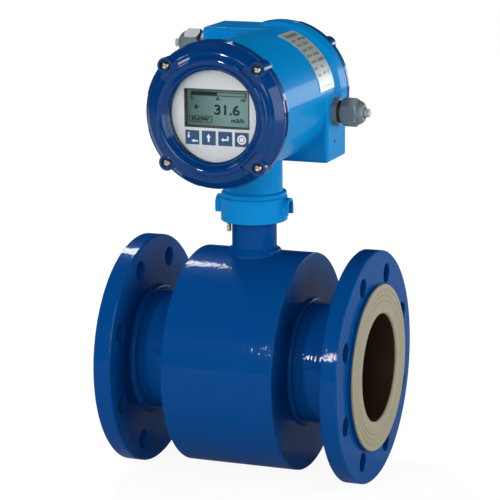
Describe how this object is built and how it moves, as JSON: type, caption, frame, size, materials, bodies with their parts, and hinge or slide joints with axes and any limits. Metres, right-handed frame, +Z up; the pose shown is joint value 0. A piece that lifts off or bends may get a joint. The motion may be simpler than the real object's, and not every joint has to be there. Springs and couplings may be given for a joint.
{
  "type": "electromagnetic flow meter",
  "caption": "Flanged electromagnetic flow meter for a pipe: lined measuring tube in a coil drum, with a turning display head on its neck.",
  "frame": {"origin": "centre of the measuring bore, halfway between the sealing faces", "axes": "+X along the pipe, towards the flange at the display's right; -Y the way the display faces; +Z up the neck"},
  "size_m": [0.25, 0.22, 0.4255],
  "materials": {
    "paint_deep_blue": "gloss paint with a slight orange peel",
    "paint_light_blue": "gloss paint",
    "liner_tan": "moulded, matt",
    "steel": "plain",
    "soft_iron": "plain",
    "copper": "enamelled winding",
    "glass": "clear",
    "dial_grey": "printed film, matt",
    "lcd_black": "matt",
    "lcd_green": "display glass",
    "key_blue": "printed film",
    "board_green": "solder mask",
    "part_black": "moulded",
    "terminal_grey": "moulded",
    "gland_grey": "moulded, satin",
    "plug_grey": "moulded, satin",
    "seal_black": "rubber",
    "aluminium": "satin"
  },
  "bodies": {
    "sensor": {"measuring_tube": "paint_deep_blue", "liner": "liner_tan", "flange_right": "paint_deep_blue", "flange_left": "paint_deep_blue", "coil_housing": "paint_deep_blue", "end_plate_right": "paint_deep_blue", "end_plate_left": "paint_deep_blue", "pole_shoe_upper": "soft_iron", "pole_shoe_lower": "soft_iron", "coil_upper": "copper", "coil_lower": "copper", "yoke_ring": "soft_iron", "electrode_rear": "steel", "electrode_front": "steel", "electrode_bushes": "part_black", "electrode_nuts": "steel", "neck_tube": "paint_deep_blue", "swivel_ring": "steel", "neck_seal": "seal_black"},
    "head": {"head_housing": "paint_light_blue", "bulkhead": "aluminium", "clamp_screws": "steel", "locking_screw": "steel", "front_cover": "paint_deep_blue", "front_cover_seal": "seal_black", "front_cover_screws": "steel", "window_glass": "glass", "glass_ring": "part_black", "rear_cover": "paint_deep_blue", "rear_cover_seal": "seal_black", "rear_cover_screws": "steel", "nameplate": "aluminium", "dial_plate": "dial_grey", "lcd_frame": "lcd_black", "lcd_panel": "lcd_green", "display_board": "board_green", "key_switches": "part_black", "board_pillars": "steel", "main_board": "board_green", "transformer": "part_black", "capacitors": "aluminium", "terminal_block": "terminal_grey", "terminal_screws": "steel", "gland_body_right": "gland_grey", "gland_seal_right": "seal_black", "gland_nut_right": "gland_grey", "gland_plug_right": "plug_grey", "gland_body_left": "gland_grey", "gland_seal_left": "seal_black", "gland_nut_left": "gland_grey", "gland_plug_left": "plug_grey"},
    "key_arrows": {"key_arrows": "key_blue"},
    "key_up": {"key_up": "key_blue"},
    "key_enter": {"key_enter": "key_blue"},
    "key_ring": {"key_ring": "key_blue"}
  },
  "joints": [
    {"name": "head_swivel", "type": "hinge", "parent": "sensor", "child": "head", "pos_m": [0, 0, 0.1485], "axis": [0, 0, 1], "range_deg": [-170, 170]},
    {"name": "key_arrows_press", "type": "slide", "parent": "head", "child": "key_arrows", "axis": [0, 1, 0], "range_m": [0, 0.0005], "stiffness_N_per_m": 1500},
    {"name": "key_up_press", "type": "slide", "parent": "head", "child": "key_up", "axis": [0, 1, 0], "range_m": [0, 0.0005], "stiffness_N_per_m": 1500},
    {"name": "key_enter_press", "type": "slide", "parent": "head", "child": "key_enter", "axis": [0, 1, 0], "range_m": [0, 0.0005], "stiffness_N_per_m": 1500},
    {"name": "key_ring_press", "type": "slide", "parent": "head", "child": "key_ring", "axis": [0, 1, 0], "range_m": [0, 0.0005], "stiffness_N_per_m": 1500}
  ]
}
